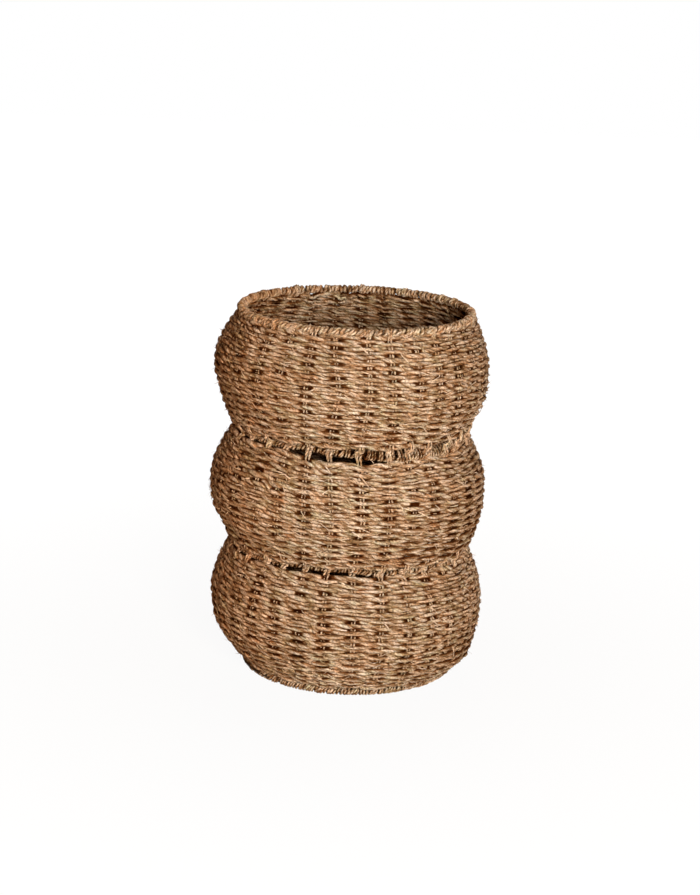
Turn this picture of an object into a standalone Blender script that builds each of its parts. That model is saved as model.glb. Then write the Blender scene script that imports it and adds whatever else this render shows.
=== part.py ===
"""A round seagrass basket: three bellied woven tiers, one above the other, on wrapped wire hoops.

Metres, +Z up. The origin is on the floor, on the basket's axis.
"""

from math import acos, atan2, cos, hypot, pi, radians, sin

import bpy

# Heights of the three woven tiers, foot to waist, waist to waist and waist to mouth
lower_tier_height = 0.1451
middle_tier_height = 0.1415
upper_tier_height = 0.1327

# Outer radii of the woven wall, and where each tier is widest, as a share of its height
lower_belly_radius = 0.1630
middle_belly_radius = 0.1635
upper_belly_radius = 0.1615
lower_waist_radius = 0.1410
upper_waist_radius = 0.1390
mouth_radius = 0.1400
lower_belly_share = 0.52
middle_belly_share = 0.48
upper_belly_share = 0.55

# Woven wall, and the slot between two tiers through which a waist hoop shows
wall_thickness = 0.0060
waist_slot = 0.0080

# Stakes: pairs of cords that run from the base up through every tier and hook over the rim
stake_count = 31
stake_width = 0.0055
stake_thickness = 0.0020
stake_end_gap = 0.0018
hook_end_angle = radians(-25)

# Turn of the whole basket on its axis, so that no stake lies straight ahead
basket_turn = radians(4.0)

# Wire hoops, each wound with cord
wire_radius = 0.0020
wrap_thickness = 0.0020
wrap_slit = 0.0008
base_hoop_radius = 0.1230
waist_hoop_rise = 0.0015
rim_hoop_inset = 0.0050

# Round woven base inside the base hoop
base_thickness = 0.0060

# Running clearance between neighbouring pieces
clearance = 0.0003

# Facets: two round the wall for each stake, so that a stake lies flat against one of them
wall_facets = 2 * stake_count
hoop_facets = 36
wire_sides = 6
wrap_sides = 6
hook_segments = 5
half_belly_segments = 3
foot_segments = 3

# Sizes that follow from those above
wrap_apothem = wire_radius + clearance + wrap_thickness
wrap_reach = wrap_apothem / cos(pi / wrap_sides)
wrap_keepout = wrap_reach + clearance
facet_shrink = cos(pi / wall_facets)
stake_inset = wall_thickness + clearance
stake_depth = stake_inset + stake_thickness

base_hoop_height = wrap_apothem
foot_radius = base_hoop_radius + wrap_keepout
foot_height = base_hoop_height + wrap_keepout
lower_waist_height = foot_height + lower_tier_height
upper_waist_height = lower_waist_height + middle_tier_height
mouth_height = upper_waist_height + upper_tier_height
rim_hoop_radius = mouth_radius - rim_hoop_inset
rim_hoop_height = mouth_height + wrap_keepout
basket_height = rim_hoop_height + wrap_keepout + stake_thickness

seagrass_straw = (0.50, 0.36, 0.21)
seagrass_brown = (0.36, 0.23, 0.12)
seagrass_pale = (0.60, 0.46, 0.30)
steel_grey = (0.33, 0.32, 0.31)


def clear_scene():
    for obj in list(bpy.data.objects):
        bpy.data.objects.remove(obj, do_unlink=True)


def make_collection(name):
    collection = bpy.data.collections.new(name)
    bpy.context.scene.collection.children.link(collection)
    return collection


def make_material(name, colour, roughness, metallic=0.0):
    material = bpy.data.materials.new(name)
    material.use_nodes = True
    shader = material.node_tree.nodes["Principled BSDF"]
    shader.inputs["Base Color"].default_value = (*colour, 1.0)
    shader.inputs["Roughness"].default_value = roughness
    shader.inputs["Metallic"].default_value = metallic
    material.diffuse_color = (*colour, 1.0)
    return material


def belly_curve(belly, end, segments):
    """Points (radius, height) from the belly to one end of a tier, on a parabola, belly left out."""
    points = []
    for step in range(1, segments + 1):
        share = step / segments
        radius = belly[0] + (end[0] - belly[0]) * share**2
        points.append((radius, belly[1] + (end[1] - belly[1]) * share))
    return points


def tier_outline(head, foot, belly_radius, belly_share, segments_below):
    """A tier's outer side from its head down to its foot, as (radius, height)."""
    belly = (belly_radius, foot[1] + belly_share * (head[1] - foot[1]))
    above = belly_curve(belly, head, half_belly_segments)
    below = belly_curve(belly, foot, segments_below)
    return above[::-1] + [belly] + below


def upper_tier_outline():
    head = (mouth_radius, mouth_height)
    foot = (upper_waist_radius, upper_waist_height + waist_slot / 2)
    return tier_outline(head, foot, upper_belly_radius, upper_belly_share, half_belly_segments)


def middle_tier_outline():
    head = (upper_waist_radius, upper_waist_height - waist_slot / 2)
    foot = (lower_waist_radius, lower_waist_height + waist_slot / 2)
    return tier_outline(head, foot, middle_belly_radius, middle_belly_share, half_belly_segments)


def lower_tier_outline():
    head = (lower_waist_radius, lower_waist_height - waist_slot / 2)
    foot = (foot_radius, foot_height)
    return tier_outline(head, foot, lower_belly_radius, lower_belly_share, foot_segments)


def right_normal(start, end):
    """Unit normal on the right-hand side of the segment from start to end."""
    across, along = end[0] - start[0], end[1] - start[1]
    length = hypot(across, along)
    return (along / length, -across / length)


def offset_path(points, distance):
    """The path moved sideways by the distance, to the right of its direction, with mitred corners."""
    normals = [right_normal(a, b) for a, b in zip(points, points[1:])]
    before = normals[:1] + normals
    after = normals + normals[-1:]
    moved = []
    for point, n1, n2 in zip(points, before, after):
        reach = distance / (1 + n1[0] * n2[0] + n1[1] * n2[1])
        moved.append((point[0] + (n1[0] + n2[0]) * reach, point[1] + (n1[1] + n2[1]) * reach))
    return moved


def tangent_angle(point, centre, radius, side):
    """Angle, seen from the centre, at which a line from the point touches the circle."""
    across, along = point[0] - centre[0], point[1] - centre[1]
    return atan2(along, across) + side * acos(radius / hypot(across, along))


def on_circle(centre, radius, angle):
    return (centre[0] + radius * cos(angle), centre[1] + radius * sin(angle))


def hook_path(wall_point):
    """The stake's way round the rim hoop, from its free end outside to the inner side."""
    centre = (rim_hoop_radius, rim_hoop_height)
    start = tangent_angle(wall_point, centre, wrap_keepout, -1)
    end = hook_end_angle - 2 * pi
    step = (end - start) / hook_segments
    corner_radius = wrap_keepout / cos(step / 2)
    corners = [on_circle(centre, corner_radius, start + (i + 0.5) * step) for i in range(hook_segments)]
    return [on_circle(centre, wrap_keepout, end)] + corners[::-1]


def foot_path(wall_point):
    """The stake's way past the base hoop and inwards over the woven base."""
    centre = (base_hoop_radius, base_hoop_height)
    touch = on_circle(centre, wrap_keepout, tangent_angle(wall_point, centre, wrap_keepout, 1))
    height = base_thickness + clearance
    share = (wall_point[1] - height) / (wall_point[1] - touch[1])
    corner = (wall_point[0] + (touch[0] - wall_point[0]) * share, height)
    end_radius = stake_count * (stake_width + stake_end_gap) / (2 * pi)
    return [corner, (end_radius, height)]


def stake_path():
    """The side of a stake that faces the wall and the hoops, from the hook to its inner end."""
    wall = upper_tier_outline() + middle_tier_outline() + lower_tier_outline()
    inside = offset_path(wall, stake_inset)[1:]
    return hook_path(inside[0]) + inside + foot_path(inside[-1])


def stake_outline():
    near = stake_path()
    far = offset_path(near, stake_thickness)
    return [(radius * facet_shrink, height) for radius, height in near + far[::-1]]


def flat_curve(name, outline, width):
    """A closed flat outline with half the width on each side of its plane."""
    curve = bpy.data.curves.new(name, "CURVE")
    curve.dimensions = "2D"
    curve.fill_mode = "BOTH"
    curve.extrude = width / 2
    spline = curve.splines.new("POLY")
    spline.points.add(len(outline) - 1)
    for point, (across, along) in zip(spline.points, outline):
        point.co = (across, along, 0, 1)
    spline.use_cyclic_u = True
    return curve


def profile_mesh(name, profile):
    """An open line of (radius, height) points in the plane through +X and +Z."""
    mesh = bpy.data.meshes.new(name)
    edges = [(i, i + 1) for i in range(len(profile) - 1)]
    mesh.from_pydata([(radius, 0, height) for radius, height in profile], edges, [])
    return mesh


def add_turned_shell(name, profile, facets, thickness, material, collection):
    """The profile turned round the axis and thickened towards its inner side."""
    obj = bpy.data.objects.new(name, profile_mesh(name, profile))
    collection.objects.link(obj)
    obj.data.materials.append(material)
    turn = obj.modifiers.new("turn", "SCREW")
    turn.axis = "Z"
    turn.angle = 2 * pi
    turn.steps = facets
    turn.render_steps = facets
    turn.use_merge_vertices = True
    turn.merge_threshold = 1e-5
    turn.use_smooth_shade = True
    shell = obj.modifiers.new("thicken", "SOLIDIFY")
    shell.thickness = thickness
    shell.offset = -1
    shell.use_even_offset = True
    shell.use_quality_normals = True
    return obj


def add_wall_tiers(collection):
    weave = make_material("woven_seagrass", seagrass_straw, 0.85)
    tiers = {
        "upper_tier_weave": upper_tier_outline(),
        "middle_tier_weave": middle_tier_outline(),
        "lower_tier_weave": lower_tier_outline(),
    }
    for name, outline in tiers.items():
        add_turned_shell(name, outline, wall_facets, wall_thickness, weave, collection)


def waist_hoop_radius(waist_radius):
    """A waist hoop lies against the inner side of the stakes."""
    return (waist_radius - stake_depth) * facet_shrink - wrap_keepout


def add_wire(name, radius, height, material, collection):
    bpy.ops.mesh.primitive_torus_add(
        location=(0, 0, height),
        major_segments=hoop_facets,
        minor_segments=wire_sides,
        major_radius=radius,
        minor_radius=wire_radius,
    )
    obj = bpy.context.object
    obj.name = obj.data.name = name
    obj.data.materials.append(material)
    obj.data.shade_smooth()
    for home in list(obj.users_collection):
        home.objects.unlink(obj)
    collection.objects.link(obj)


def wrap_section(radius, height, slit_angle):
    """The wrap's outer side as an almost closed ring of points, open at the slit."""
    half_slit = wrap_slit / (2 * wrap_reach)
    angles = [slit_angle - i * 2 * pi / wrap_sides for i in range(wrap_sides + 1)]
    angles[0] -= half_slit
    angles[-1] += half_slit
    return [on_circle((radius, height), wrap_reach, angle) for angle in angles]


def add_hoops(collection):
    """Four wire hoops, each inside its wrap. A wrap's slit faces away from where it is seen."""
    steel = make_material("steel_wire", steel_grey, 0.45, 1.0)
    cord = make_material("seagrass_wrap", seagrass_brown, 0.85)
    lower_height = lower_waist_height + waist_hoop_rise
    upper_height = upper_waist_height + waist_hoop_rise
    hoops = {
        "rim_hoop": (rim_hoop_radius, rim_hoop_height, -pi / 2),
        "upper_waist_hoop": (waist_hoop_radius(upper_waist_radius), upper_height, pi),
        "lower_waist_hoop": (waist_hoop_radius(lower_waist_radius), lower_height, pi),
        "base_hoop": (base_hoop_radius, base_hoop_height, pi),
    }
    for name, (radius, height, slit_angle) in hoops.items():
        add_wire(f"{name}_wire", radius, height, steel, collection)
        section = wrap_section(radius, height, slit_angle)
        add_turned_shell(f"{name}_wrap", section, hoop_facets, wrap_thickness, cord, collection)


def add_base(collection):
    """The woven base: a flat disc that fills the base hoop and lies on the floor."""
    bpy.ops.mesh.primitive_cylinder_add(
        vertices=hoop_facets,
        radius=base_hoop_radius - wrap_keepout,
        depth=base_thickness,
        location=(0, 0, base_thickness / 2),
    )
    obj = bpy.context.object
    obj.name = obj.data.name = "base_weave"
    obj.data.materials.append(make_material("woven_base", seagrass_brown, 0.9))
    for home in list(obj.users_collection):
        home.objects.unlink(obj)
    collection.objects.link(obj)


def add_stakes(collection):
    """Every stake has the same outline and lies against the middle of a wall facet."""
    curve = flat_curve("stake_pair", stake_outline(), stake_width)
    curve.materials.append(make_material("seagrass_stake", seagrass_pale, 0.85))
    for i in range(stake_count):
        obj = bpy.data.objects.new(f"stake_pair_{i + 1:02d}", curve)
        obj.rotation_euler = (pi / 2, 0, (2 * i + 0.5) * 2 * pi / wall_facets)
        collection.objects.link(obj)


def turn_basket(collection):
    """Every piece hangs from one empty on the axis, which turns the basket."""
    axis = bpy.data.objects.new("basket_axis", None)
    axis.rotation_euler = (0, 0, basket_turn)
    for obj in collection.objects:
        obj.parent = axis
    collection.objects.link(axis)


def main():
    clear_scene()
    collection = make_collection("seagrass_basket")
    add_wall_tiers(collection)
    add_hoops(collection)
    add_base(collection)
    add_stakes(collection)
    turn_basket(collection)
    print(f"basket height {basket_height:.4f} m, stakes {stake_count}")


main()
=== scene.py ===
"""Looks of the seagrass basket: every cord of the weave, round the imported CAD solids.

Metres, +Z up, in the CAD's frame. Angles run round from +X, and the front is at -Y. Each tier is
one long two-strand cord that climbs round the wall, in front of one stake and behind the next.

A STRAY is a random stray's size and the spacing of its knots: along a cord in metres, round the
wall in radians, or round a hoop in turns of its winding.
"""

from math import cos, pi, radians, sin

import bpy
import numpy as np
from mathutils import Matrix, Vector

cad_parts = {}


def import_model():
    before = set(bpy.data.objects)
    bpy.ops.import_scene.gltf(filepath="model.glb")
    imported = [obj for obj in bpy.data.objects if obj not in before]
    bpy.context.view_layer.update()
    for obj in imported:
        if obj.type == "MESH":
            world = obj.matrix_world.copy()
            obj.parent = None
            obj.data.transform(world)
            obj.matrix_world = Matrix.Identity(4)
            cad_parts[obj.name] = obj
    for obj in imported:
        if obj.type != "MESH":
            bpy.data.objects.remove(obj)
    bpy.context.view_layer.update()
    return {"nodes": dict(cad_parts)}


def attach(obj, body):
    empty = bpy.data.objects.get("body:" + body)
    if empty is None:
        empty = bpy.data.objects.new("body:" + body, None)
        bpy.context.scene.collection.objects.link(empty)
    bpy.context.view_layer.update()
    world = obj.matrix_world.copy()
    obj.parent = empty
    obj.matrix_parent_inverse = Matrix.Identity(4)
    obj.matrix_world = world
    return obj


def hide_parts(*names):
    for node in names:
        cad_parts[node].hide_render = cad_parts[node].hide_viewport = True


# The solids' sizes, repeated from the CAD source: a foot, head or hoop by radius and height.
# share: how far up its tier the belly is widest. past: how far the rows run on past the foot and
# the head. close: how much further they go where the slot is shut.
STAKE_COUNT = 31
BASKET_TURN = radians(4.0)
WALL_INSET = 0.0032
HOOK_REACH = 0.0053
WRAP_REACH = 0.0043
TIERS = {
    "lower": {"foot": (0.12827, 0.00957), "head": (0.1410, 0.15067), "belly": 0.1630,
              "share": 0.52, "past": (0.0030, -0.0005), "close": (0.0, 0.0040)},
    "middle": {"foot": (0.1410, 0.15867), "head": (0.1390, 0.29217), "belly": 0.1635,
               "share": 0.48, "past": (0.0008, -0.0015), "close": (0.0022, 0.0048)},
    "upper": {"foot": (0.1390, 0.30017), "head": (0.1400, 0.42887), "belly": 0.1615,
              "share": 0.55, "past": (0.0005, 0.0060), "close": (0.0025, 0.0)},
}
HOOPS = {
    "rim_hoop": (0.1350, 0.43413),
    "upper_waist_hoop": (0.12527, 0.29767),
    "lower_waist_hoop": (0.12726, 0.15617),
    "base_hoop": (0.1230, 0.0043),
}

# Cord sizes read off the photo
ROW_PITCH = 0.00435
ROW_SWING = 0.00155
ROW_TWIST = 0.043
PLY_OFFSET = 0.00128
PLY_HALF_DEPTH = 0.00140
PLY_HALF_WIDTH = 0.00205
ROW_CORD = (PLY_OFFSET, PLY_HALF_DEPTH, PLY_HALF_WIDTH, ROW_TWIST)
STAKE_GAP = 0.0017
STAKE_SWING = 0.0013
STAKE_TWIST = 0.011
STAKE_PLY = 0.00066
SEGMENT = 0.0020

# Each hoop's winding: pitch, half width, reach from the hoop's middle, shift outwards, and the
# brightness painted into its shade: below 1 is painted shade on the waists, above 1 painted light
# on the rim
WINDINGS = {
    "rim_hoop": (0.0048, 0.00240, 0.0029, 0.0, 1.25),
    "upper_waist_hoop": (0.0034, 0.00170, 0.0041, 0.0012, 0.72),
    "lower_waist_hoop": (0.0036, 0.00175, 0.0040, 0.0012, 0.85),
    "base_hoop": (0.0036, 0.00165, 0.0030, 0.0, 1.0),
}

# Where the slot above each tier is deep: the middle of the stretch, and half its width, in degrees.
# The upper tier has no slot above it, so its edge is free all round.
OPEN_SLOTS = {"lower": (-14.0, 23.0), "middle": (-8.0, 26.0), "upper": (0.0, 400.0)}
SLOT_BELOW = {"middle": "lower", "upper": "middle"}
SLOT_OF = {"lower_waist_hoop": "lower", "upper_waist_hoop": "middle"}

# How far a tier's edge or a hoop hangs low, in millimetres, by the angle from the front in degrees
MILLIMETRE = 0.001
LOWER_WAIST_SAG = ((5, 0), (15, 1), (45, 1.5), (55, 4), (62, 4), (75, 0))
SAGS = {
    "upper foot": (
        (-40, 0), (-25, -1), (-15, -2), (-3, -2), (5, 1), (12, 3.5), (20, 4.5), (30, 6),
        (43, 5.5), (55, 7), (66, 4), (80, 0)),
    "middle head": (
        (-40, 0), (-31, 1), (-24, 2.5), (-17, 5.5), (-11, 7), (-3, 6), (5, 6), (12, 7),
        (17, 7.5), (30, 7), (43, 6.5), (55, 8), (66, 4.5), (80, 0)),
    "upper_waist_hoop": (
        (-40, 0), (-24, 1.5), (-10, 4), (0, 5.5), (6, 7), (12, 8), (20, 7.5), (30, 7),
        (43, 6), (55, 7.5), (66, 4), (80, 0)),
    "middle foot": LOWER_WAIST_SAG,
    "lower head": ((-45, 0), (-34, -1.0), (-8, -1.2), *LOWER_WAIST_SAG),
    "lower_waist_hoop": LOWER_WAIST_SAG,
    "upper head": (
        (-180, -1.5), (-178, -1.5), (-177.4, 4.5), (-174.8, 4.5), (-174.1, -1), (-173, -1),
        (-172.4, 4.5), (-170.4, 4.5), (-169.5, -1.5), (-158, -1), (-157.2, 5), (-154.4, 5),
        (-153.5, -1), (-142, -1), (-141, 3), (-139, 3), (-138, 0), (155, 0), (162, -1.5),
        (165, -1.5), (165.5, 4), (167.3, 4), (168, -1.5), (180, -1.5)),
}

# How far each tier's left and right side stands out in the photo, from its foot to its head
CROOKED = {
    "lower": ((-0.004, -0.002, 0.0, 0.0, 0.001, 0.002, 0.002),
              (0.006, 0.010, 0.003, 0.001, 0.001, 0.002, 0.002)),
    "middle": ((0.002, 0.0, 0.004, 0.005, 0.005, 0.003, 0.003),
               (0.003, 0.0, -0.003, -0.004, -0.003, -0.003, -0.002)),
    "upper": ((0.003, 0.003, 0.002, 0.004, 0.004, 0.001, 0.0),
              (-0.001, 0.0, 0.0, -0.003, -0.003, -0.003, 0.0)),
}
SIDE_WIDTH = 1.5

# How far stakes stray sideways, in degrees, at six heights: in front as in the photo, and
# elsewhere by chance
DRIFT_HEIGHTS = (0.080, 0.156, 0.223, 0.298, 0.371, 0.425)
FIRST_IN_FRONT = 20
FRONT_DRIFT = (
    (0.2, -0.5, 0.5, -1.0, 0.0, 0.4),
    (-0.2, -1.0, 1.0, -1.4, -0.1, -0.5),
    (-1.2, -1.5, 1.1, -2.6, 2.0, -1.5),
    (-0.5, -0.8, 1.7, -0.3, 2.8, 1.9),
    (-0.5, 0.6, 1.3, 2.6, 1.1, 0.2),
    (0.7, 0.2, 0.7, 0.4, 1.7, 1.0),
    (0.4, 0.0, -0.7, -0.6, -0.5, 0.3),
    (-0.4, 0.3, -0.5, 0.4, -0.6, -1.2),
    (0.5, -0.6, -2.0, -0.8, 0.3, -0.2),
)
MOST_DRIFT = 1.6


# ---- noise


def line_noise(at, spacing, seed):
    """Smooth random values from -1 to 1 along a line."""
    rng = np.random.default_rng(seed)
    first = int(np.floor(at.min() / spacing)) - 1
    knots = rng.uniform(-1, 1, int(np.ceil(at.max() / spacing)) - first + 3)
    place = at / spacing - first
    whole = np.floor(place).astype(int)
    part = place - whole
    part = part * part * (3 - 2 * part)
    return knots[whole] * (1 - part) + knots[whole + 1] * part


def stray(at, amount, seed):
    """A random stray along a line."""
    size, spacing = amount
    return size * line_noise(at, spacing, seed)


def wall_noise(theta, height, around, up, seed, waves=7):
    """Smooth random values over the wall, about -1 to 1: most waves round, and least length up."""
    rng = np.random.default_rng(seed)
    total = np.zeros(np.broadcast(theta, height).shape)
    for _ in range(waves):
        turns = int(rng.integers(1, around + 1))
        rise = rng.uniform(-1, 1) * 2 * pi / up
        total += np.cos(turns * theta + rise * height + rng.uniform(0, 2 * pi))
    return total / waves**0.5


def smooth_step(value, low, high):
    """0 at low, 1 at high, and smooth between them."""
    share = np.clip((value - low) / (high - low), 0, 1)
    return share * share * (3 - 2 * share)


# ---- tubes and pieces

PLIES = 2
ROW_SIDES = 8
LUMP_SPACING = 0.006
TWIST_STRAY = (2.6, 0.055)
KINK_STRAY = (0.9, 0.016)
THICKNESS_STRAY = (0.13, 0.02)

# Painted shade at a cord's edges, where it meets its neighbours: it darkens from this share of its
# half width outwards, over so much of it
EDGE_FROM = 0.50
EDGE_STRAY = (0.22, 0.011)
EDGE_WIDTH = 0.36

# Where a cord has swung back this share of its way, it is painted dark, as shade
RECESS = (0.50, 0.86)

CORE_SIDES = 8
# The core is painted dark to stand for the shade in the gaps: darkest at its upper and lower sides,
# and this much lighter where it faces out or in
CORE_LEAST_SHADE = 0.06
CORE_SIDE_SHADE = 0.34

# In the bake's UV map, strands lie in strips one above the other, with a margin
BAKE_STRIP = 0.33
BAKE_SPARE = 1.03
BAKE_MARGIN = 0.01
LANE_MARGIN, LANE_FILL = 0.1, 0.8
SEED_STEP = 0.6180339


def tube(centre, side_a, side_b, half_a, half_b, sides, along, seed, lumps=0.0, notch=0.5,
         crest=(-0.4, 0.6)):
    """One strand: rings of points round a line, with the length along it.

    Each point's painted shade is 1 on the strand's outer crest and falls to notch where strands
    touch.
    """
    count = len(centre)
    angle = np.arange(sides) * 2 * pi / sides
    out_a = np.broadcast_to(half_a, count)[:, None] * np.cos(angle)
    out_b = np.broadcast_to(half_b, count)[:, None] * np.sin(angle)
    if lumps:
        for k in range(sides):
            swell = 1 + lumps * line_noise(along, LUMP_SPACING, seed * 131 + k)
            out_a[:, k] *= swell
            out_b[:, k] *= swell
    rings = (centre[:, None] + out_a[..., None] * side_a[:, None]
             + out_b[..., None] * side_b[:, None])
    girth = pi * (np.mean(half_a) + np.mean(half_b))
    shade = notch + (1 - notch) * smooth_step(np.cos(angle), *crest)
    shade = np.broadcast_to(shade, (count, sides))
    return {"rings": rings, "along": along, "girth": girth, "seed": seed, "shade": shade}


def length_along(points):
    """How far along a line each of its points lies."""
    return np.concatenate([[0], np.cumsum(np.linalg.norm(np.diff(points, axis=0), axis=1))])


def sides_along(centre, outward):
    """The two directions across a line: one near the outward direction, and the other."""
    tangent = np.gradient(centre, axis=0)
    tangent /= np.linalg.norm(tangent, axis=1, keepdims=True)
    side = outward - (outward * tangent).sum(1, keepdims=True) * tangent
    side /= np.linalg.norm(side, axis=1, keepdims=True)
    return side, np.cross(tangent, side)


def twisted(centre, outward, along, offset, half_depth, half_width, twist, sides, seed, size=1.0,
            lumps=0.20, swing=None, recess_shade=None, rim=0.85, notch=0.5):
    """A cord of two plies twisted round each other along a line.

    Each ply is painted with shade at the cord's upper and lower edges, and, where the cord swings
    back behind a stake, on the side that faces the gap.
    """
    side, other = sides_along(centre, outward)
    size = np.broadcast_to(size, len(along))
    phase = 2 * pi * along / twist + stray(along, TWIST_STRAY, seed * 17 + 3)
    phase = phase + stray(along, KINK_STRAY, seed * 17 + 4)
    tubes = []
    for ply in range(PLIES):
        turn = phase + 2 * pi * ply / PLIES + seed
        thick = size * (1 + stray(along, THICKNESS_STRAY, seed * 17 + 5 + ply))
        spoke = np.cos(turn)[:, None] * side + np.sin(turn)[:, None] * other
        cross = -np.sin(turn)[:, None] * side + np.cos(turn)[:, None] * other
        line = centre + spoke * (offset * thick)[:, None]
        strand = tube(line, spoke, cross, half_depth * thick, half_width * thick, sides, along,
                      seed * 10 + ply, lumps=lumps, notch=notch, crest=(-0.3, 0.9))
        whole = ((offset + half_depth) * thick)[:, None]
        across = ((strand["rings"] - centre[:, None]) * other[:, None]).sum(-1) / whole
        # Painted shade at the cord's upper and lower edges, where it meets its neighbours
        edge_from = (EDGE_FROM - stray(along, EDGE_STRAY, seed * 17 + 13))[:, None]
        edge = smooth_step(np.abs(across), edge_from, edge_from + EDGE_WIDTH)
        strand["shade"] = strand["shade"] * (1 - np.broadcast_to(rim, len(along))[:, None] * edge)
        # Painted shade on the side of a recess that faces the gap
        if swing is not None:
            facing = ((strand["rings"] - centre[:, None]) * side[:, None]).sum(-1) / whole
            recess = smooth_step(-swing[:, None] * np.clip(2 * facing, -1, 1), *RECESS)
            strand["shade"] = strand["shade"] * (1 - recess * recess_shade[:, None])
        tubes.append(strand)
    return tubes


def core(centre, outward, along, half_depth, half_width, seed, swing, recess_shade):
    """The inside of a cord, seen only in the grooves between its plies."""
    centre, outward, along, half_depth, half_width, swing, recess_shade = (
        values[::2] for values in (centre, outward, along, half_depth, half_width, swing, recess_shade))
    side, other = sides_along(centre, outward)
    strand = tube(centre, side, other, half_depth, half_width, CORE_SIDES, along, seed * 10 + 7)
    # Painted shade: the core is darker still where the cord has swung back behind a stake
    behind = smooth_step(-swing, *RECESS) * recess_shade
    facing = np.abs(np.cos(np.arange(CORE_SIDES) * 2 * pi / CORE_SIDES))
    strand["shade"] = (CORE_LEAST_SHADE + CORE_SIDE_SHADE * facing) * (1 - behind)[:, None]
    return strand


def cut_tube(item, parts):
    """The strand in shorter lengths that share their end rings."""
    ends = np.linspace(0, len(item["rings"]) - 1, parts + 1).round().astype(int)
    return [dict(item, rings=item["rings"][a:b + 1], along=item["along"][a:b + 1],
                 shade=item["shade"][a:b + 1]) for a, b in zip(ends, ends[1:])]


def bake_place(reach, lane, v, first_strip, strips):
    """UVs in the bake's map, for a place so far along a strand and so far round it."""
    bake_u = (reach - lane * BAKE_STRIP) / (BAKE_STRIP * BAKE_SPARE) + BAKE_MARGIN
    bake_v = (first_strip + lane + LANE_MARGIN + LANE_FILL * v) / strips
    return np.stack([np.clip(bake_u, 0.001, 0.999), bake_v], -1).reshape(-1, 2)


def fill(data, key, values, kind=np.float32):
    """Sets one value of every point, corner or face."""
    data.foreach_set(key, np.concatenate(values).astype(kind).ravel())


def add_object(name, data):
    """A new object in the scene."""
    obj = bpy.data.objects.new(name, data)
    bpy.context.scene.collection.objects.link(obj)
    return obj


def make_piece(name, tubes, material, nodes):
    """One mesh of all the strands, closed at their ends, with UVs along each strand."""
    points, corners, starts, cord_uv, bake_uv, seeds, shades = [], [], [], [], [], [], []
    base = loops = 0
    strips = [max(1, int(np.ceil((t["along"][-1] - t["along"][0]) / BAKE_STRIP))) for t in tubes]
    total_strips = sum(strips)
    strip_base = 0
    for item, own_strips in zip(tubes, strips):
        rings = item["rings"].copy()
        rings[..., 2] = np.maximum(rings[..., 2], 0.0)
        count, sides = rings.shape[:2]
        ring = np.arange(count - 1)[:, None]
        side = np.arange(sides)[None, :]
        after = (side + 1) % sides
        quads = np.stack([ring * sides + side, ring * sides + after,
                          (ring + 1) * sides + after, (ring + 1) * sides + side], -1)
        along = item["along"]
        lane = np.minimum(((along - along[0])[:-1] / BAKE_STRIP).astype(int), own_strips - 1)
        u, v = np.empty((2, count - 1, sides, 4))
        u[..., 0] = u[..., 1] = along[:-1, None]
        u[..., 2] = u[..., 3] = along[1:, None]
        v[..., 0] = v[..., 3] = side / sides
        v[..., 1] = v[..., 2] = (side + 1) / sides
        cord_uv.append(np.stack([u, v * item["girth"]], -1).reshape(-1, 2))
        bake_uv.append(bake_place(u - along[0], lane[:, None, None], v, strip_base, total_strips))
        corners.append((quads + base).reshape(-1))
        starts.append(loops + 4 * np.arange(quads.shape[0] * sides))
        loops += quads.size
        for at, order in ((0, range(sides - 1, -1, -1)), (count - 1, range(sides))):
            corners.append(base + at * sides + np.array(order))
            starts.append(np.array([loops]))
            loops += sides
            end_u = np.full(sides, along[at])
            end_v = np.array(order) / sides
            end_lane = 0 if at == 0 else own_strips - 1
            cord_uv.append(np.stack([end_u, end_v * item["girth"]], -1))
            end_reach = end_u - along[0]
            bake_uv.append(bake_place(end_reach, end_lane, end_v, strip_base, total_strips))
        points.append(rings.reshape(-1, 3))
        seeds.append(np.full(count * sides, (item["seed"] * SEED_STEP) % 1.0))
        shades.append(item["shade"].reshape(-1))
        base += count * sides
        strip_base += own_strips
    mesh = bpy.data.meshes.new(name)
    mesh.vertices.add(base)
    fill(mesh.vertices, "co", points)
    mesh.loops.add(loops)
    fill(mesh.loops, "vertex_index", corners, np.int32)
    mesh.polygons.add(sum(map(len, starts)))
    fill(mesh.polygons, "loop_start", starts, np.int32)
    mesh.update(calc_edges=True)
    for layer_name, uv in (("OFBake", bake_uv), ("cord", cord_uv)):
        fill(mesh.uv_layers.new(name=layer_name).data, "uv", uv)
    for key, values in (("strand", seeds), ("shade", shades)):
        fill(mesh.attributes.new(key, "FLOAT", "POINT").data, "value", values)
    mesh.shade_smooth()
    obj = add_object(name, mesh)
    mesh.materials.append(material)
    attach(obj, "root")
    if nodes:
        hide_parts(*nodes)
    return obj


# ---- the wall's own shape

WALL_POINTS = 600
WALL_SPARE = 0.006
STAKE_OFFSET = 0.25
SLOT_EDGE = 6


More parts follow.
